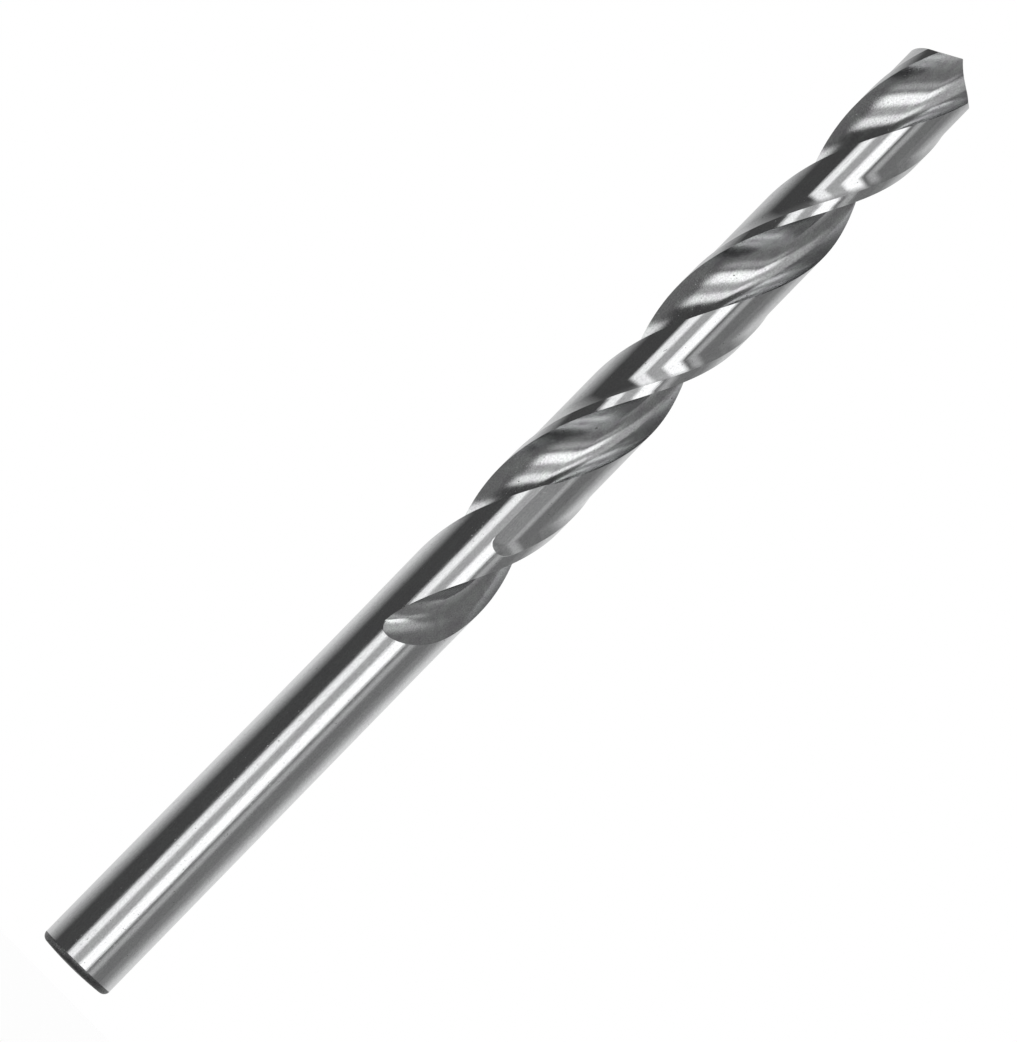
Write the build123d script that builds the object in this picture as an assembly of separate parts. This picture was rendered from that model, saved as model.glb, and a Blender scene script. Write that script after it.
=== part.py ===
from build123d import *
import os
from math import acos, atan2, cos, degrees, pi, radians, sin, sqrt, tan

# Parallel-shank twist drill, right-hand cutting, ground from one bar. Millimetres and degrees.
# +Z runs from the shank end to the point, the origin is the middle of the shank end,
# and the outer corner of the first lip lies in the direction of +X.

# Blank
drill_diameter = 8.0  # over the margins
shank_diameter = 7.84
overall_length = 117.0
blend_length = 14.0  # slow cone from the shank to the full diameter, from the flutes' end
end_dome_radius = 33.0  # the cropped shank end is slightly domed
end_edge_radius = 0.65

# Flutes
flute_length = 76.65  # from the point to the end of the run-out
helix_angle = 27.8  # at the full diameter
flute_angle_at_point = 98.0  # from a leading edge to the heel in front of it
flute_angle_at_run_out = 79.0
web_at_point = 1.3
web_growth = 0.014  # gain in web for each millimetre towards the shank
run_out_radius = 29.0  # path on which the flute wheel lifts out
run_out_direction = 2.4  # of that lift, in front of the leading edge
run_out_clearance = 1.0  # how far the wheel ends above the blank
run_out_corner = 12.0  # opens between the flute's face and its floor as the wheel lifts
run_out_heel_rise = 2.25  # how much more the floor rises at its heel
flute_stations = 19
run_out_stations = 9

# Lands
margin_width = 0.9  # square to the margin's helix
clearance_depth = 0.2  # how far the body is relieved behind the margin
clearance_length = 64.1  # from the point to the start of the relief
clearance_lag = 24.0  # how far behind its leading edge the relief wheel first touches the land

# Point
point_angle = 118.0
grinding_cone_angle = 80.0  # full angle of the cone that each flank is part of
cone_setback = 0.4535  # from the drill's axis back to the cone's vertex, for each millimetre of diameter
cone_offset = 0.1746  # from the drill's axis across to the vertex, for each millimetre of diameter

# Worked out
radius = drill_diameter / 2
shank_radius = shank_diameter / 2
relief_radius = radius - clearance_depth
tool_radius = radius * 1.8  # outside of the cutting tools, clear of the blank
lead = pi * drill_diameter / tan(radians(helix_angle))
half_point = radians(point_angle / 2)
half_cone = radians(grinding_cone_angle / 2)
cone_lean = half_point - half_cone  # so that the cone's side lies at the point's angle
cone_back = cone_setback * drill_diameter
cone_across = cone_offset * drill_diameter
lip_twist = 360 / lead / tan(half_point)  # turn of the helix for each millimetre of a lip
flute_end = overall_length - flute_length
clearance_end = overall_length - clearance_length


def turned(x, y, angle):
    """The point x, y turned about the axis."""
    a = radians(angle)
    return x * cos(a) - y * sin(a), x * sin(a) + y * cos(a)


def direction(x, y):
    """Direction of the point x, y from the axis."""
    return degrees(atan2(y, x))


def cone_depth(x, y):
    """How far the first flank lies below its cone's vertex, with the first lip along +x at half the web."""
    p, q = x + cone_back, y - cone_across
    a = cos(cone_lean) ** 2 - cos(half_cone) ** 2
    b = p * sin(cone_lean) * cos(cone_lean)
    c = (p * sin(cone_lean)) ** 2 - (p**2 + q**2) * cos(half_cone) ** 2
    return (sqrt(b**2 - a * c) - b) / a


# The outer corner ends the first lip. The chisel edge's middle is on the axis at the overall length.
corner = (sqrt(radius**2 - (web_at_point / 2) ** 2), web_at_point / 2)
vertex_height = overall_length + cone_depth(0, 0)
corner_height = vertex_height - cone_depth(*corner)


def leading_angle(z):
    """Direction of the first land's leading edge at height z."""
    return 360 * (z - corner_height) / lead


def flute_angle(z):
    """Width of a flute at height z, from the leading edge to the heel in front of it."""
    share = (overall_length - z) / flute_length
    return flute_angle_at_point + (flute_angle_at_run_out - flute_angle_at_point) * share


def web(z):
    """Thickness of the core at height z."""
    return web_at_point + web_growth * (overall_length - z)


# The flute wheel lifts along a circle, from the height where the flute is at its full depth.
end_lift = shank_radius + run_out_clearance - web(flute_end) / 2
full_depth_height = flute_end + sqrt(2 * run_out_radius * end_lift - end_lift**2)


def wheel_lift(z):
    """How far the flute wheel has risen at height z."""
    run = max(0, full_depth_height - z)
    return run_out_radius - sqrt(run_out_radius**2 - run**2)


def flute_section(z):
    """Outline of the flute tool at height z, first drawn with the core's top on +y.

    The face is the curve that gives a straight lip, and the floor is an arc from there through the next
    land's heel. Both go on to the tool's outside. In the run-out both rise with the wheel, the floor
    flattens and a corner opens between them.
    """
    half_web = web(z) / 2
    out = wheel_lift(z) / end_lift

    def face_point(x):
        return turned(x, half_web, lip_twist * x)

    front = direction(*face_point(sqrt(radius**2 - half_web**2)))
    lift = Vector(*turned(wheel_lift(z), 0, front + run_out_direction))
    core = Vector(0, half_web) + lift
    reach = sqrt(tool_radius**2 - half_web**2)
    face = [Vector(*face_point(reach * n / 6)) + lift for n in range(7)]
    # The floor leaves the core along -x turned by the corner, and passes the heel.
    heel_radius = relief_radius + run_out_heel_rise * out**3
    chord = Vector(*turned(heel_radius, 0, front + flute_angle(z))) - core
    normal = Vector(*turned(0, 1, -run_out_corner * out))
    floor_radius = chord.length**2 / (2 * chord.dot(normal))
    center = core + normal * floor_radius
    # It ends just outside the blank, where its circle meets a circle round the axis.
    clear_radius = heel_radius * 1.08
    distance = center.length
    along = (clear_radius**2 + distance**2 - floor_radius**2) / (2 * distance)
    to_center = center.normalized()
    clear = to_center * along + to_center.rotate(Axis.Z, 90) * sqrt(clear_radius**2 - along**2)
    middle = center + ((core - center) + (clear - center)).normalized() * floor_radius
    exit_point = clear * (tool_radius / clear_radius)
    outer = (face[-1] + exit_point).normalized() * (tool_radius + lift.length)
    outline = Wire(
        [
            Edge.make_spline(face),
            Edge.make_three_point_arc(face[-1], outer, exit_point),
            Edge.make_line(exit_point, clear),
            Edge.make_three_point_arc(clear, middle, core),
        ]
    )
    return outline.moved(Location((0, 0, z), (0, 0, leading_angle(z) - front)))


def flute_tool(bottom, top, stations):
    """What the wheel takes out of the first flute between two heights."""
    step = (top - bottom) / (stations - 1)
    return Solid.make_loft([flute_section(bottom + step * n) for n in range(stations)])


def relief_tool():
    """What is ground off the first land behind its margin.

    The wheel's axis is parallel to the drill's, so it cuts down to a cylinder, leaves a flat
    tangent to it beside the margin, and starts with another such flat along the drill.
    """
    margin_angle = degrees(margin_width / cos(radians(helix_angle)) / radius)
    flat_angle = degrees(acos(relief_radius / radius))
    touch = leading_angle(clearance_end) - margin_angle - flat_angle
    air = touch - 90  # in the flute behind the heel
    flat = sqrt(tool_radius**2 - relief_radius**2)
    start = turned(relief_radius, 0, touch)
    outline = Wire(
        [
            Edge.make_line(start, turned(relief_radius, flat, touch)),
            Edge.make_three_point_arc(
                turned(relief_radius, flat, touch),
                turned(tool_radius, 0, (touch + air) / 2),
                turned(tool_radius, 0, air),
            ),
            Edge.make_line(turned(tool_radius, 0, air), turned(relief_radius, 0, air)),
            Edge.make_three_point_arc(
                turned(relief_radius, 0, air), turned(relief_radius, 0, (touch + air) / 2), start
            ),
        ]
    )
    height = overall_length + 1 - clearance_end
    swept = Solid.extrude_linear_with_rotation(
        Face(outline).moved(Location((0, 0, clearance_end))),
        (0, 0, clearance_end),
        (0, 0, height),
        360 * height / lead,
    )
    # Behind the first line of contact the wheel has not reached, until the heel has passed it.
    kept = Box(relief_radius, tool_radius, lead / 2, align=(Align.MIN, Align.MAX, Align.CENTER))
    first_touch = leading_angle(clearance_end) - clearance_lag
    return swept - Location((0, 0, clearance_end), (0, 0, first_touch)) * kept


def blank():
    """The turned bar: domed and rounded shank end, shank, slow cone and full diameter."""
    edge_height = end_dome_radius - sqrt(end_dome_radius**2 - shank_radius**2)
    body_start = flute_end + blend_length
    outline = RadiusArc((0, 0), (shank_radius, edge_height), -end_dome_radius) + Polyline(
        (shank_radius, edge_height),
        (shank_radius, flute_end),
        (radius, body_start),
        (radius, overall_length + 1),
        (0, overall_length + 1),
        (0, 0),
    )
    profile = make_face(outline)
    edge = profile.vertices().sort_by_distance((shank_radius, edge_height))[0]
    return revolve(Plane.XZ * fillet(edge, end_edge_radius), Axis.Z)


def flank_cone():
    """The leaning cone whose side is the first flank."""
    height = vertex_height * 1.1
    vertex = Plane(
        (-cone_back, cone_across, vertex_height),
        x_dir=(cos(cone_lean), 0, sin(cone_lean)),
        z_dir=(-sin(cone_lean), 0, cos(cone_lean)),
    )
    cone = Cone(height * tan(half_cone), 0, height, align=(Align.CENTER, Align.CENTER, Align.MAX))
    return (vertex * cone).rotate(Axis.Z, -direction(*corner))


def both(tool):
    """A tool for the first flute, land or flank, and the same for the second."""
    return [tool, tool.rotate(Axis.Z, 180)]


main_flute = flute_tool(full_depth_height, overall_length + 1, flute_stations)
run_out = flute_tool(flute_end, full_depth_height, run_out_stations)
first_flank, second_flank = both(flank_cone())
drill = blank() - both(main_flute) - both(run_out)
drill = drill & first_flank & second_flank
drill = drill - both(relief_tool())

os.makedirs("parts", exist_ok=True)
export_step(drill, "parts/twist_drill.step")
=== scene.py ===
from collections import namedtuple
from math import acos, asin, atan2, cos, degrees, pi, radians, sin, sqrt, tan

import bpy
import numpy as np
from mathutils import Matrix, Vector


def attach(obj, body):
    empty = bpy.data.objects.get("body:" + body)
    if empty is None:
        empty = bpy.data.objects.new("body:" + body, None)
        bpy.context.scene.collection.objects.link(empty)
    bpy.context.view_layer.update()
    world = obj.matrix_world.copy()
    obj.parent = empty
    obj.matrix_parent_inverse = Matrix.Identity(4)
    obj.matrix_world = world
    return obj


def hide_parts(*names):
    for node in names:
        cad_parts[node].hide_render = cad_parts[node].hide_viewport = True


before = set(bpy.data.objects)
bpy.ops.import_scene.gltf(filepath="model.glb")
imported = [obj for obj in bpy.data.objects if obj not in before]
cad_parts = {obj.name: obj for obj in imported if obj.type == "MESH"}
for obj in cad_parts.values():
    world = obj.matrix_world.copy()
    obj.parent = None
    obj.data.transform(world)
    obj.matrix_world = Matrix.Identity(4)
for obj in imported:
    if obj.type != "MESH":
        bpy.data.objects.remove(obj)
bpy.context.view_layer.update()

# ---------------------------------------------------------------------------------------------
# The drill's sizes, in millimetres and degrees: those of the CAD source, and the relief's run-in.

MM = 0.001

RADIUS = 4.0
SHANK_RADIUS = 3.92
LENGTH = 117.0
BLEND = 14.0  # slow cone from the shank to the full diameter
DOME_RADIUS = 33.0  # of the shank's end
EDGE_RADIUS = 0.65
HELIX = 27.8  # at the full diameter
FLUTE_LENGTH = 76.65  # from the point to the end of the run-out
FLUTE_ANGLES = 98.0, 79.0  # at the point and at the end of the run-out
WEB = 1.3  # at the point
WEB_GROWTH = 0.014  # for each millimetre towards the shank
RUN_OUT_RADIUS = 29.0  # path on which the flute wheel lifts out
RUN_OUT_DIRECTION = 2.4  # of that lift, in front of the leading edge
RUN_OUT_CLEARANCE = 1.0  # how far the wheel ends above the bar
RUN_OUT_CORNER = 12.0  # opens between face and floor as the wheel lifts
RUN_OUT_HEEL_RISE = 2.25  # how much more the floor rises at its heel
MARGIN_WIDTH = 0.9  # square to the helix
RELIEF_RADIUS = 3.8
RELIEF_START = LENGTH - 64.1
RELIEF_LAG = 24.0  # how far behind the leading edge the relief wheel first touches the land
RELIEF_RUN_IN = 1.2  # along the drill
HALF_POINT = radians(59.0)
HALF_CONE = radians(40.0)  # of the cones on which the flanks are ground
CONE_BACK = 0.4535 * 2 * RADIUS  # from the axis back to a cone's vertex
CONE_ACROSS = 0.1746 * 2 * RADIUS  # from the axis across to it

LEAD = pi * 2 * RADIUS / tan(radians(HELIX))
LIP_TWIST = 360 / LEAD / tan(HALF_POINT)  # turn of the helix for each millimetre of a lip
CONE_LEAN = HALF_POINT - HALF_CONE
FLUTE_END = LENGTH - FLUTE_LENGTH
MARGIN_ANGLE = degrees(MARGIN_WIDTH / cos(radians(HELIX)) / RADIUS)
FLAT_ANGLE = degrees(acos(RELIEF_RADIUS / RADIUS))


def turned(x, y, angle):
    """The point x, y turned about the axis by angle degrees."""
    a = np.radians(angle)
    return x * np.cos(a) - y * np.sin(a), x * np.sin(a) + y * np.cos(a)


def cone_depth(x, y):
    """How far a flank lies below its grinding cone's vertex, with the lip along +x at half the web.

    The cone's equation (p sin t + w cos t)^2 = cos^2 c (p^2 + q^2 + w^2) solved for the depth w,
    with lean t, half angle c, and p, q the distances from the vertex across the axis.
    """
    p, q = x + CONE_BACK, y - CONE_ACROSS
    a = cos(CONE_LEAN) ** 2 - cos(HALF_CONE) ** 2
    b = p * sin(CONE_LEAN) * cos(CONE_LEAN)
    c = (p * sin(CONE_LEAN)) ** 2 - (p**2 + q**2) * cos(HALF_CONE) ** 2
    return (np.sqrt(b**2 - a * c) - b) / a


VERTEX = LENGTH + float(cone_depth(0.0, 0.0))
CORNER = sqrt(RADIUS**2 - (WEB / 2) ** 2), WEB / 2
CORNER_HEIGHT = VERTEX - float(cone_depth(*CORNER))
POINT_TURN = -degrees(atan2(CORNER[1], CORNER[0]))


def flank_height(x, y, which):
    """Height of flank 0 or 1 above x, y, in the drill's frame."""
    u, v = turned(x, y, -POINT_TURN + 180 * which)
    return VERTEX - cone_depth(u, v)


def point_height(x, y):
    """Height of the ground point above x, y: the lower of the two flanks."""
    return np.minimum(flank_height(x, y, 0), flank_height(x, y, 1))


def bar_radius(z):
    """Radius of the bar before any flute: shank, slow cone, full diameter."""
    return np.interp(z, [FLUTE_END, FLUTE_END + BLEND], [SHANK_RADIUS, RADIUS])


def leading(z):
    """Direction of the first land's leading edge at height z."""
    return 360 * (z - CORNER_HEIGHT) / LEAD


def web(z):
    """Thickness of steel left between the flutes at height z."""
    return WEB + WEB_GROWTH * (LENGTH - z)


END_LIFT = SHANK_RADIUS + RUN_OUT_CLEARANCE - web(FLUTE_END) / 2
FULL_DEPTH = FLUTE_END + sqrt(2 * RUN_OUT_RADIUS * END_LIFT - END_LIFT**2)


def run_out_lift(z):
    """How far the flute wheel has risen at height z, on its circular path."""
    run = np.maximum(0, FULL_DEPTH - z)
    return RUN_OUT_RADIUS - np.sqrt(RUN_OUT_RADIUS**2 - run**2)


def flute(w, z):
    """A point of the first flute's section at height z, w millimetres from its core point.

    For w < 0 it is the face, the point (-w, h) turned by -k w, with h half the web and k the lip's
    twist, which makes a straight lip. For w > 0 it is the floor, an arc of radius f and centre c,
    c + f (-sin(a + w / f), -cos(a + w / f)), with a the corner between face and floor.
    In the run-out both rise with the wheel, the heel rises more and the corner a opens.
    """
    half = web(z) / 2
    end = np.sqrt(RADIUS**2 - half**2)
    ex, ey = turned(end, half, LIP_TWIST * end)
    front = np.degrees(np.arctan2(ey, ex))
    share = (LENGTH - z) / FLUTE_LENGTH
    angle = FLUTE_ANGLES[0] + (FLUTE_ANGLES[1] - FLUTE_ANGLES[0]) * share
    lift = run_out_lift(z)
    out = lift / END_LIFT
    lx, ly = turned(lift, 0, front + RUN_OUT_DIRECTION)
    hx, hy = turned(RELIEF_RADIUS + RUN_OUT_HEEL_RISE * out**3, 0, front + angle)
    cx, cy = hx - lx, hy - ly - half
    bend = np.radians(RUN_OUT_CORNER) * out
    # Chord and tangent: the arc starts along -x turned by the corner, and ends at the heel.
    rise = cy * np.cos(bend) + cx * np.sin(bend)
    floor = (cx**2 + cy**2) / (2 * rise)
    x, y = turned(-w, half, -LIP_TWIST * w)
    s = w / floor
    fx = -floor * np.sin(s)
    fy = floor * (1 - np.cos(s))
    fx, fy = turned(fx, fy, -np.degrees(bend))
    x = np.where(w < 0, x, fx) + lx
    y = np.where(w < 0, y, half + fy) + ly
    return turned(x, y, leading(z) - front)


def land_radius(back, z, relieved=True):
    """Radius of a land at an angle back (negative) from its leading edge, at height z.

    Behind the margin a tangent flat R / cos(angle) leads down to the relief cylinder R.
    Where the relief starts, another such flat lies along the drill, and the wheel runs in along
    a parabola. Both rises above R are joined as (a^1.5 + b^1.5)^(2/3), which rounds the corner.
    """
    bar = bar_radius(z)
    if not relieved:
        return bar + 0 * back
    past = np.radians(np.clip(back + MARGIN_ANGLE + FLAT_ANGLE, 0, 60))
    ground = RELIEF_RADIUS / np.cos(past)
    along = back + 360 * (z - RELIEF_START) / LEAD + RELIEF_LAG
    flat = RELIEF_RADIUS / np.cos(np.radians(np.clip(along, -60, 0)))
    near = (along < 0) & (z < RELIEF_START + LEAD / 4)
    rise = np.where(near, np.maximum(ground, flat), ground) - RELIEF_RADIUS
    run_in = (RADIUS - RELIEF_RADIUS) * (1 - np.clip((z - RELIEF_START) / RELIEF_RUN_IN, 0, 1)) ** 2
    ground = RELIEF_RADIUS + (rise**1.5 + run_in**1.5) ** (2 / 3)
    ground = np.where(back > -MARGIN_ANGLE, bar, ground)
    return np.where(z < RELIEF_START, bar, np.minimum(bar, ground))


def bisect(wrong, low, high, steps=46):
    """Where a condition changes between low, where it doesn't hold, and high, where it does. Arrays."""
    low, high = np.array(low, float), np.array(high, float)
    for _ in range(steps):
        mid = (low + high) / 2
        hit = wrong(mid)
        high = np.where(hit, mid, high)
        low = np.where(hit, low, mid)
    return (low + high) / 2


# How far from its core point a flute's section is searched, in millimetres: for its deepest
# point, and for its edges on the face's and on the floor's side.
CORE_SEARCH = np.linspace(-4.0, 4.0, 1601)
FACE_SEARCH = -5.4
FLOOR_SEARCH = 4.6


def deepest(z):
    """The w at which the flute's section comes nearest to the axis."""
    z = np.atleast_1d(z)
    w = CORE_SEARCH
    x, y = flute(w[None, :], z[:, None])
    return w[np.argmin(np.hypot(x, y), axis=1)]


def find_face_edge(z):
    """The w at which the flute's face leaves the bar, at each height in z."""
    return bisect(
        lambda w: np.hypot(*flute(w, z)) < bar_radius(z), np.full(z.shape, FACE_SEARCH), deepest(z)
    )


def find_heel_edge(z):
    """The w at which the flute's floor meets the land in front of it."""

    def outside(w):
        x, y = flute(w, z)
        back = np.degrees(np.arctan2(y, x)) - leading(z) - 180
        back = (back % 360) - 360
        return np.hypot(x, y) > land_radius(back, z)

    return bisect(outside, deepest(z), np.full(z.shape, FLOOR_SEARCH))


def edge_angle(w, z):
    """How far in front of the leading edge the flute's point w lies, in degrees from -90 to 270."""
    x, y = flute(w, z)
    return (np.degrees(np.arctan2(y, x)) - leading(z) + 90) % 360 - 90


# Where the run-out ends, and both edges from there to past the point, looked up by height.
# The heights are crowded towards the run-out, where the edges turn most.
START = float(bisect(lambda z: np.hypot(*flute(deepest(z), z)) < bar_radius(z), [FLUTE_END], [FULL_DEPTH])[0])
EDGE_HEIGHTS = 2400
PAST_POINT = LENGTH + 1.5
EDGE_Z = START + (PAST_POINT - START) * np.linspace(0, 1, EDGE_HEIGHTS) ** 2
FACE_W = find_face_edge(EDGE_Z)
HEEL_W = find_heel_edge(EDGE_Z)


def face_edge(z):
    """The w of the flute's leading edge at height z."""
    return np.interp(z, EDGE_Z, FACE_W)


def heel_edge(z):
    """The w of the flute's heel at height z."""
    return np.interp(z, EDGE_Z, HEEL_W)


def heel_back(z):
    """The heel, as an angle back from the leading edge of its land at height z."""
    return edge_angle(heel_edge(z), z) - 180


def start_line(z):
    """The relief's first line of contact, as an angle back from the leading edge at height z."""
    return -360 * (z - RELIEF_START) / LEAD - RELIEF_LAG


# Where the heel passes that line, searched from just above the relief's start.
PASSED = float(
    bisect(lambda z: heel_back(z) - start_line(z) > 0, [RELIEF_START + 0.5], [RELIEF_START + LEAD / 3])[0]
)

# ---------------------------------------------------------------------------------------------
# The drill's skin: grids of points, each a function of two parameters, in millimetres.

LAND, RELIEF, FLUTE, POINT, END = range(5)  # materials, in the mesh's order
GRADE = 14  # rows are crowded over about this many at a grid's low end
EVEN = 0.001  # the same for rows that are nearly even
POINT_SEARCH = LENGTH - 7, LENGTH + 1.0  # heights between which everything meets the ground point
CHISEL_SEARCH = 0.3  # how far the chisel edge may lie from the line between its ends
HAIR = 1e-6  # degrees past the margin's edge, so that the land's radius is the relief's

grids = []


def add_grid(points, material):
    """Keeps a grid of points (rows, columns, 3), and the same turned by half a turn."""
    grids.append((points, material))
    grids.append((points * [-1, -1, 1], material))


def graded(count, soft):
    """count shares from 0 to 1, crowded towards 0, as a column: k^2 / (k + soft)."""
    k = np.arange(count)
    g = k**2 / (k + soft)
    return (g / g[-1])[:, None]


def point_cut(place, shares):
    """Height at which place(share, z) reaches the ground point, for each share."""
    return bisect(
        lambda z: z > point_height(*place(shares, z)),
        np.full(shares.shape, POINT_SEARCH[0]),
        np.full(shares.shape, POINT_SEARCH[1]),
    )


def strip(place, low, columns, rows, soft=EVEN, top=None):
    """Grid of place(share, z) for shares 0 to 1, from z = low to top, or to the ground point."""
    shares = np.linspace(0, 1, columns)
    if top is None:
        top = point_cut(place, shares)
    heights = (low + (top - low) * graded(rows, soft) * np.ones(columns)).ravel()
    x, y = place(np.tile(shares, rows), heights)
    return np.stack([x, y, heights], axis=-1).reshape(rows, columns, 3)


def on_land(low_back, high_back, relieved=True):
    """A place function for part of the second flute's land: angles back from its leading edge."""

    def place(share, z):
        low, high = low_back(z), high_back(z)
        back = low + (np.maximum(high, low) - low) * share
        r = land_radius(back, z, relieved)
        return turned(r, 0, back + leading(z) + 180)

    return place


def in_flute(share, z):
    """A place function for the flute: the first half of the shares on its face, the rest on its floor."""
    low, high = face_edge(z), heel_edge(z)
    core = np.clip(0, low, high)
    w = np.where(share < 0.5, low + (core - low) * 2 * share, core + (high - core) * (2 * share - 1))
    return flute(w, z)


def leading_back(z):
    """The leading edge itself, as an angle back from it."""
    return 0 * z


def margin_back(z):
    """The margin's edge, as an angle back from the leading edge."""
    return 0 * z - MARGIN_ANGLE


def behind_margin(z):
    """The same, on the relief's side of it."""
    return 0 * z - MARGIN_ANGLE - HAIR


def flat_back(z):
    """The far edge of the flat where the relief starts."""
    return start_line(z) - FLAT_ANGLE


def add_flute():
    """The flute, from the end of the run-out to the point."""
    add_grid(strip(in_flute, START, 65, 300, GRADE)[:, ::-1], FLUTE)


def add_land():
    """The margin, the relief with its flats, and what is left of the bar where the relief starts."""
    add_grid(strip(on_land(margin_back, leading_back), RELIEF_START, 5, 300, GRADE), LAND)
    relief = on_land(lambda z: np.maximum(heel_back(z), start_line(z)), behind_margin)
    add_grid(strip(relief, RELIEF_START, 57, 300, GRADE), RELIEF)
    flat = on_land(lambda z: np.maximum(heel_back(z), flat_back(z)), start_line)
    add_grid(strip(flat, RELIEF_START, 25, 80, GRADE, top=PASSED), RELIEF)
    left = on_land(heel_back, flat_back)
    add_grid(strip(left, RELIEF_START, 9, 60, top=PASSED), LAND)
    bar = on_land(heel_back, lambda z: edge_angle(face_edge(z), z), relieved=False)
    add_grid(strip(bar, START, 49, 90, GRADE, top=RELIEF_START), LAND)


def at_top(place, shares):
    """Points x, y where place(share, z) reaches the ground point."""
    return np.stack(place(shares, point_cut(place, shares)), axis=-1)


def flank_gap(x, y):
    """How far flank 0 lies above flank 1 over x, y."""
    return flank_height(x, y, 0) - flank_height(x, y, 1)


def chisel_edge(start, end, count):
    """Points x, y where both flanks meet, found square to the line from start to end."""
    line = start + (end - start) * np.linspace(0, 1, count)[:, None]
    square = np.array([line[0, 1], -line[0, 0]]) / np.hypot(*line[0])
    reach = np.full(count, CHISEL_SEARCH)
    shift = bisect(lambda d: flank_gap(*(line + square * d[:, None]).T) > 0, -reach, reach)
    edge = line + square * shift[:, None]
    edge[0], edge[-1] = start, end
    return edge


def add_flank():
    """The flank behind the second lip, a Coons patch between lip, floor edge, chisel edge and land.

    With sides L and F along s, C and O along t, it is (1 - t) L + t F + (1 - s) C + s O less the
    corners weighted by (1 - s)(1 - t), s (1 - t), (1 - s) t and s t.
    """
    # The share of the flute's section at which the chisel edge ends.
    inner = bisect(lambda share: flank_gap(*at_top(in_flute, share).T) > 0, [0.25], [0.85])[0]
    along = np.linspace(0, 1, 49)
    lip = -at_top(in_flute, inner * (1 - along))
    floor_edge = at_top(in_flute, inner + (1 - inner) * along)
    margin_top = at_top(on_land(margin_back, leading_back), np.linspace(1, 0, 9))
    relief_top = at_top(on_land(heel_back, behind_margin), np.linspace(1, 0, 33))
    outer = np.concatenate([margin_top, relief_top[1:]])
    chisel = chisel_edge(lip[0], floor_edge[0], len(outer))
    s = along[None, :, None]
    t = np.linspace(0, 1, len(outer))[:, None, None]
    sides = (1 - t) * lip[None] + t * floor_edge[None] + (1 - s) * chisel[:, None] + s * outer[:, None]
    corners = (
        (1 - s) * (1 - t) * lip[0] + s * (1 - t) * lip[-1]
        + (1 - s) * t * floor_edge[0] + s * t * floor_edge[-1]
    )
    patch = sides - corners
    heights = flank_height(patch[..., 0], patch[..., 1], 1)
    add_grid(np.concatenate([patch, heights[..., None]], axis=-1), POINT)


def turned_profile(r, z, columns=73):
    """Grid of a profile r, z turned through half a turn: (r cos a, r sin a, z)."""
    a = np.linspace(0, pi, columns)
    return np.stack([r[:, None] * np.cos(a), r[:, None] * np.sin(a), z[:, None] + 0 * a], axis=-1)


def add_shank():
    """The domed end with its rounded edge, and the shank up to the flutes, as half turns."""
    edge_r = SHANK_RADIUS - EDGE_RADIUS
    edge_z = DOME_RADIUS - sqrt((DOME_RADIUS - EDGE_RADIUS) ** 2 - edge_r**2)
    lean = asin(edge_r / (DOME_RADIUS - EDGE_RADIUS))
    dome = lean * np.linspace(0, 1, 12)
    edge = np.linspace(lean - pi / 2, 0, 14)[1:]
    end_r = np.concatenate([DOME_RADIUS * np.sin(dome), edge_r + EDGE_RADIUS * np.cos(edge)])
    end_z = np.concatenate([DOME_RADIUS * (1 - np.cos(dome)), edge_z + EDGE_RADIUS * np.sin(edge)])
    add_grid(turned_profile(end_r, end_z), END)
    shank_z = np.linspace(edge_z, START, 24)
    add_grid(turned_profile(bar_radius(shank_z), shank_z), LAND)


def faces_inwards(grid, material):
    """Whether a grid's quads, taken in the order of its rows and columns, face into the steel."""
    diagonals = grid[:-1, 1:] - grid[1:, :-1], grid[1:, 1:] - grid[:-1, :-1]
    middle = (grid[:-1, :-1] + grid[1:, 1:]) / 2
    if material == POINT:
        out = middle * 0 + [0, 0, 1]
    elif material == END:
        out = middle - [0, 0, DOME_RADIUS]
    else:
        out = middle * [1, 1, 0]
    return (np.cross(*diagonals) * out).sum() < 0


def build_skin():
    """One mesh from all grids, in metres. Quads face away from the steel."""
    points, quads, slots = [], [], []
    count = 0
    for grid, material in grids:
        rows, columns = grid.shape[:2]
        index = np.arange(rows * columns).reshape(rows, columns) + count
        quad = np.stack([index[:-1, :-1], index[:-1, 1:], index[1:, 1:], index[1:, :-1]], axis=-1)
        if faces_inwards(grid, material):
            quad = quad[..., ::-1]
        points.append(grid.reshape(-1, 3))
        quads.append(quad.reshape(-1, 4))
        slots.append(np.full(len(quads[-1]), material))
        count += rows * columns
    points = np.concatenate(points) * MM
    quads = np.concatenate(quads)
    mesh = bpy.data.meshes.new("twist_drill_skin")
    mesh.vertices.add(len(points))
    mesh.vertices.foreach_set("co", points.ravel())
    mesh.loops.add(quads.size)
    mesh.loops.foreach_set("vertex_index", quads.ravel())
    mesh.polygons.add(len(quads))
    mesh.polygons.foreach_set("loop_start", np.arange(len(quads)) * 4)
    mesh.polygons.foreach_set("material_index", np.concatenate(slots))
    mesh.polygons.foreach_set("use_smooth", np.ones(len(quads), bool))
    mesh.update(calc_edges=True)
    return mesh


# ---------------------------------------------------------------------------------------------
# Materials


def new_material(name):
    """An empty material and its node tree."""
    material = bpy.data.materials.new(name)
    material.use_nodes = True
    material.node_tree.nodes.clear()
    return material, material.node_tree


def node(tree, kind, inputs=None, **settings):
    """A new node with its settings and its inputs, each a value or another node's output."""
    made = tree.nodes.new(kind)
    for key, value in settings.items():
        setattr(made, key, value)
    for key, value in (inputs or {}).items():
        if isinstance(value, bpy.types.NodeSocket):
            tree.links.new(value, made.inputs[key])
        else:
            made.inputs[key].default_value = value
    return made


def calc(tree, operation, *values):
    """The result of a Math node."""
    return node(tree, "ShaderNodeMath", dict(enumerate(values)), operation=operation).outputs[0]


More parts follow.
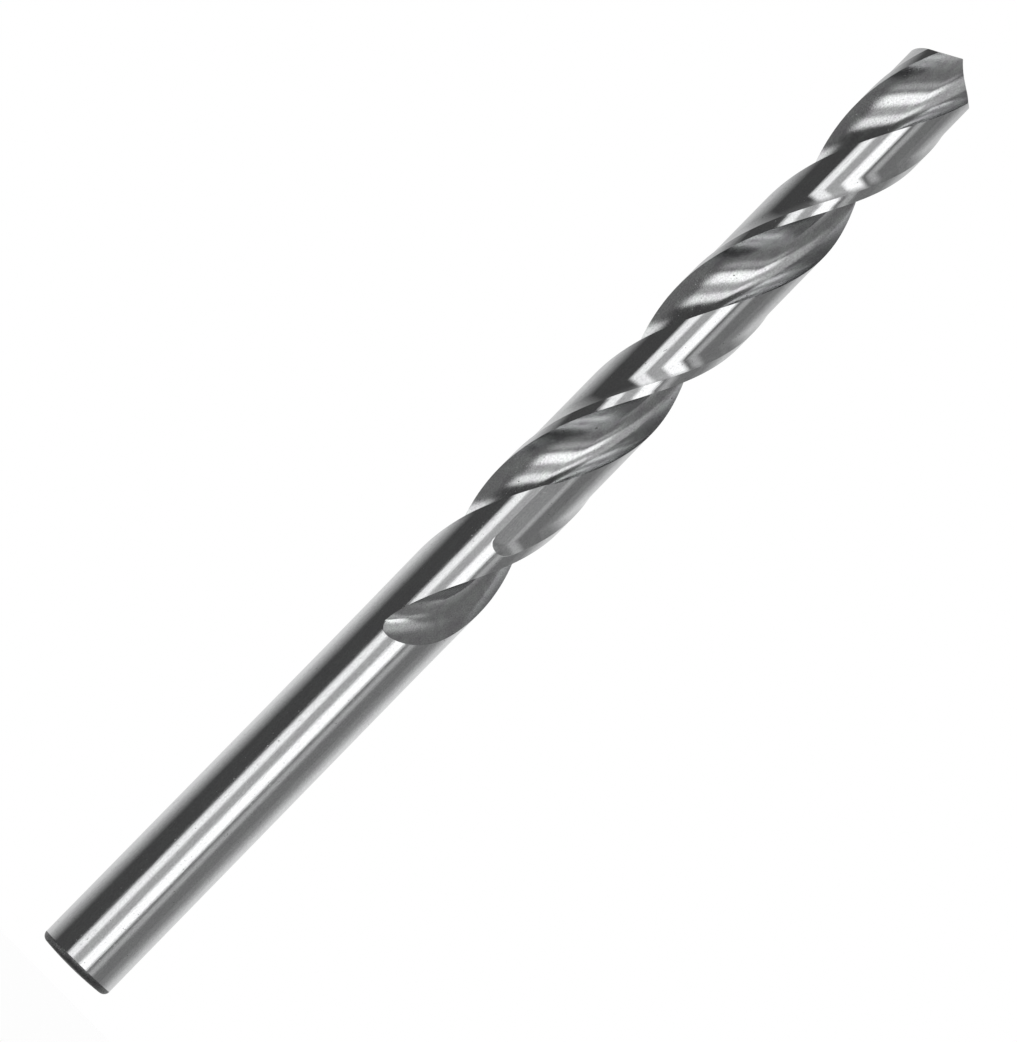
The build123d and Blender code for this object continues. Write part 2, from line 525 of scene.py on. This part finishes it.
def carried(tree, value, low, high, at_low, at_high):
    """The value carried from low..high over to at_low..at_high, and constant outside."""
    ends = {"From Min": low, "From Max": high, "To Min": at_low, "To Max": at_high}
    return node(tree, "ShaderNodeMapRange", {"Value": value, **ends}).outputs[0]


def new_group(name, inputs, outputs):
    """A node group with float inputs {name: default} and outputs {name: socket type}."""
    group = bpy.data.node_groups.new(name, "ShaderNodeTree")
    for key, value in inputs.items():
        socket = group.interface.new_socket(key, in_out="INPUT", socket_type="NodeSocketFloat")
        socket.default_value = value
    for key, kind in outputs.items():
        group.interface.new_socket(key, in_out="OUTPUT", socket_type=kind)
    return group, node(group, "NodeGroupInput").outputs, node(group, "NodeGroupOutput")


def noise(tree, coordinates, sizes, detail, offset=0.0):
    """Noise with a grain size for each axis, in millimetres, moved by an offset of its own."""
    scale = [1 / (size * MM) for size in sizes]
    sized = node(tree, "ShaderNodeMapping",
                 {"Vector": coordinates, "Scale": scale, "Location": (offset,) * 3})
    return node(tree, "ShaderNodeTexNoise",
                {"Vector": sized.outputs[0], "Scale": 1.0, "Detail": detail}).outputs["Fac"]


def steel_finish():
    """Ground steel: fine grain along the drill, soft cloudiness, a fine speckle and a few pits."""
    tree, given, out = new_group(
        "ground_steel_finish",
        {"Tone": 0.6, "Roughness": 0.1, "Grain": 1.0, "Clouds": 1.0, "Speckle": 1.0},
        {"Color": "NodeSocketColor", "Roughness": "NodeSocketFloat", "Height": "NodeSocketFloat"},
    )
    spot = node(tree, "ShaderNodeTexCoord").outputs["Object"]
    grain = calc(tree, "SUBTRACT", noise(tree, spot, (0.07, 0.07, 3.0), 3.0), 0.5)
    clouds = calc(tree, "SUBTRACT", noise(tree, spot, (0.7, 0.7, 1.4), 3.0, 3.7), 0.5)
    speckle = calc(tree, "SUBTRACT", noise(tree, spot, (0.12, 0.12, 0.17), 2.0, 9.1), 0.5)
    pits = carried(tree, noise(tree, spot, (0.22, 0.22, 0.3), 1.0, 21.3), 0.735, 0.77, 0.0, 1.0)
    grain = calc(tree, "MULTIPLY", grain, given["Grain"])
    clouds = calc(tree, "MULTIPLY", clouds, given["Clouds"])
    speckle = calc(tree, "MULTIPLY", speckle, given["Speckle"])
    pits = calc(tree, "MULTIPLY", pits, given["Speckle"])
    shade = calc(tree, "MULTIPLY_ADD", grain, 0.35, 1.0)
    shade = calc(tree, "MULTIPLY_ADD", clouds, 0.3, shade)
    shade = calc(tree, "MULTIPLY_ADD", speckle, 0.6, shade)
    shade = calc(tree, "MULTIPLY_ADD", pits, -0.45, shade)
    tone = calc(tree, "MULTIPLY", given["Tone"], shade)
    cool = calc(tree, "MULTIPLY_ADD", clouds, 0.1, 1.008)
    color = node(tree, "ShaderNodeCombineColor",
                 {0: tone, 1: calc(tree, "MULTIPLY", tone, cool), 2: calc(tree, "MULTIPLY", tone, 1.015)})
    rough = calc(tree, "MULTIPLY_ADD", clouds, 0.12, given["Roughness"])
    rough = calc(tree, "MULTIPLY_ADD", grain, 0.1, rough)
    rough = calc(tree, "MULTIPLY_ADD", pits, 0.3, rough)
    height = calc(tree, "MULTIPLY_ADD", speckle, 0.5, grain)
    height = calc(tree, "MULTIPLY_ADD", pits, -0.8, height)
    tree.links.new(color.outputs[0], out.inputs["Color"])
    tree.links.new(rough, out.inputs["Roughness"])
    tree.links.new(height, out.inputs["Height"])
    return tree


FINISH = steel_finish()


BUMP_DEPTH = 0.02  # millimetres


def steel(name, bump, **finish_values):
    """Steel with its own values of the ground steel finish, and a bump of the given strength."""
    material, tree = new_material(name)
    finish = node(tree, "ShaderNodeGroup", finish_values, node_tree=FINISH)
    relief = node(tree, "ShaderNodeBump",
                  {"Height": finish.outputs["Height"], "Strength": bump, "Distance": BUMP_DEPTH * MM})
    shader = node(tree, "ShaderNodeBsdfPrincipled",
                  {"Base Color": finish.outputs["Color"], "Metallic": 1.0,
                   "Roughness": finish.outputs["Roughness"], "Normal": relief.outputs[0]})
    node(tree, "ShaderNodeOutputMaterial", {"Surface": shader.outputs[0]})
    return material


def placed(name, data):
    """A new object at the origin, in the scene."""
    made = bpy.data.objects.new(name, data)
    bpy.context.scene.collection.objects.link(made)
    return made


# ---------------------------------------------------------------------------------------------
# The drill

add_flute()
add_land()
add_flank()
add_shank()
drill = placed("twist_drill_ground", build_skin())
for finish in (
    steel("ground_land", 0.2, Tone=0.65, Roughness=0.11, Grain=0.6, Clouds=0.5, Speckle=0.8),
    steel("ground_relief", 0.12, Tone=0.63, Roughness=0.07, Grain=0.6, Clouds=0.5, Speckle=0.8),
    steel("ground_flute", 0.3, Tone=0.6, Roughness=0.16, Grain=0.3, Clouds=1.4, Speckle=1.2),
    steel("ground_point", 0.3, Tone=0.6, Roughness=0.2, Grain=0.5, Clouds=0.5, Speckle=1.0),
    steel("sawn_end", 0.9, Tone=0.2, Roughness=0.42, Grain=0.5, Clouds=2.0, Speckle=3.0),
):
    drill.data.materials.append(finish)
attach(drill, "root")
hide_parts("twist_drill")

# ---------------------------------------------------------------------------------------------
# Camera: it stands low, a third of a metre away, and looks slightly up along the drill.

VIEW_ANGLE = 27.6  # direction of the camera from the drill, in degrees from +X
TILT = radians(7.375)
ROLL = radians(45.643)  # the slope of the drill across the image
DISTANCE = 350.0
AIM = LENGTH / 2  # height on the drill's axis
AIM_ALONG, AIM_ACROSS = -2.228, -0.004  # how far the view's middle lies from there
SENSOR = 36.0
IMAGE_HEIGHT = 1042  # pixels
PIXELS_PER_MM = 10.962


def add_camera():
    """The camera, DISTANCE from the drill along its own axis, with the drill sloping by ROLL."""
    v_x, v_y = cos(radians(VIEW_ANGLE)), sin(radians(VIEW_ANGLE))
    # Axes of the view, in the drill's frame: towards the camera, along the drill and across it.
    toward = Vector((v_x * cos(TILT), v_y * cos(TILT), -sin(TILT)))
    along = Vector((v_x * sin(TILT), v_y * sin(TILT), cos(TILT)))
    across = Vector((-v_y, v_x, 0))
    right = cos(ROLL) * along + sin(ROLL) * across
    up = sin(ROLL) * along - cos(ROLL) * across
    eye = Vector((0, 0, AIM)) + AIM_ALONG * along + AIM_ACROSS * across + DISTANCE * toward
    data = bpy.data.cameras.new("camera")
    data.sensor_fit = "VERTICAL"
    data.sensor_height = SENSOR
    data.lens = SENSOR * PIXELS_PER_MM * DISTANCE / IMAGE_HEIGHT
    data.clip_start = 0.01
    data.clip_end = 50
    camera = placed("camera", data)
    pose = Matrix((right, up, toward)).transposed().to_4x4()
    pose.translation = eye * MM
    camera.matrix_world = pose
    bpy.context.scene.camera = camera


add_camera()

# ---------------------------------------------------------------------------------------------
# Floor and light

FLOOR_REACH = 2.0  # metres each way
FLOOR_HEIGHT = -0.09  # metres: the drill is held above it by its shank
FLOOR_GLOW = 0.75  # for the camera only, so that the floor is nearly white and keeps the shadow


def add_floor():
    """A plain pale floor, which steel doesn't reflect."""
    sides = [(-1, -1), (1, -1), (1, 1), (-1, 1)]
    corners = [(x * FLOOR_REACH, y * FLOOR_REACH, FLOOR_HEIGHT) for x, y in sides]
    mesh = bpy.data.meshes.new("floor")
    mesh.from_pydata(corners, [], [(0, 1, 2, 3)])
    floor = placed("floor", mesh)
    material, tree = new_material("floor")
    path = node(tree, "ShaderNodeLightPath")
    diffuse = node(tree, "ShaderNodeBsdfDiffuse", {"Color": (0.7, 0.7, 0.7, 1)}).outputs[0]
    glow = node(tree, "ShaderNodeEmission", {"Color": (1, 1, 1, 1), "Strength": FLOOR_GLOW}).outputs[0]
    both = node(tree, "ShaderNodeAddShader", {0: diffuse, 1: glow}).outputs[0]
    seen = node(tree, "ShaderNodeMixShader", {0: path.outputs["Is Camera Ray"], 1: diffuse, 2: both})
    node(tree, "ShaderNodeOutputMaterial", {"Surface": seen.outputs[0]})
    mesh.materials.append(material)
    floor.visible_glossy = False


# The studio: soft panels in a dark room with a grey ceiling and floor. Directions are in degrees
# round the drill from the camera's side; each panel fades out over its soft edge.
Panel = namedtuple("Panel", "direction width bottom top edge level")
PANELS = {
    "softbox": Panel(20, 24, -22, 28, 8, 1.5),
    "strip_light": Panel(-26, 18, -22, 28, 8, 1.2),
    "grey_card": Panel(-5, 30, -22, 28, 6, 0.45),
    "reflector": Panel(48, 14, -22, 28, 8, 0.3),
    "side_wall": Panel(65, 60, -22, 28, 12, 0.15),
    "back_wall": Panel(180, 140, -22, 28, 50, 0.8),
    "overhead_sheet": Panel(-5, 80, 28, 50, 10, 0.35),
    "low_panel": Panel(-75, 26, -50, -22, 10, 1.1),
}
WALLS = 0.08
CEILING_AND_FLOOR = 0.2
WALLS_END = 20, 34  # degrees above and below level over which walls turn into ceiling and floor


def inside(tree, angle, middle, width, edge):
    """1 within the width round the middle, 0 outside it, with a soft edge."""
    away = calc(tree, "WRAP", calc(tree, "SUBTRACT", angle, middle), 180, -180)
    away = calc(tree, "ABSOLUTE", away)
    return carried(tree, away, width / 2 + edge / 2, width / 2 - edge / 2, 0, 1)


def add_studio():
    """The world: the room's light plus each panel's, and plain white where the camera sees it."""
    world = bpy.data.worlds.new("studio")
    bpy.context.scene.world = world
    world.use_nodes = True
    tree = world.node_tree
    tree.nodes.clear()
    outward = node(tree, "ShaderNodeTexCoord").outputs["Generated"]
    aimed = node(tree, "ShaderNodeVectorRotate",
                 {"Vector": outward, "Angle": -radians(VIEW_ANGLE)}, rotation_type="Z_AXIS")
    axes = node(tree, "ShaderNodeSeparateXYZ", {0: aimed.outputs[0]}).outputs
    direction = calc(tree, "MULTIPLY", calc(tree, "ARCTAN2", axes["Y"], axes["X"]), degrees(1))
    height = calc(tree, "MULTIPLY", calc(tree, "ARCSINE", axes["Z"]), degrees(1))
    light = carried(tree, calc(tree, "ABSOLUTE", height), *WALLS_END, WALLS, CEILING_AND_FLOOR)
    for panel in PANELS.values():
        across = inside(tree, direction, panel.direction, panel.width, panel.edge)
        middle = (panel.bottom + panel.top) / 2
        upright = inside(tree, height, middle, panel.top - panel.bottom, panel.edge)
        light = calc(tree, "MULTIPLY_ADD", calc(tree, "MULTIPLY", across, upright), panel.level, light)
    studio = node(tree, "ShaderNodeBackground", {"Color": (1, 1, 1, 1), "Strength": light}).outputs[0]
    white = node(tree, "ShaderNodeBackground", {"Color": (1, 1, 1, 1), "Strength": 1.0}).outputs[0]
    path = node(tree, "ShaderNodeLightPath")
    seen = node(tree, "ShaderNodeMixShader", {0: path.outputs["Is Camera Ray"], 1: studio, 2: white})
    node(tree, "ShaderNodeOutputWorld", {"Surface": seen.outputs[0]})


add_floor()
add_studio()
bpy.context.scene.view_settings.view_transform = "Standard"
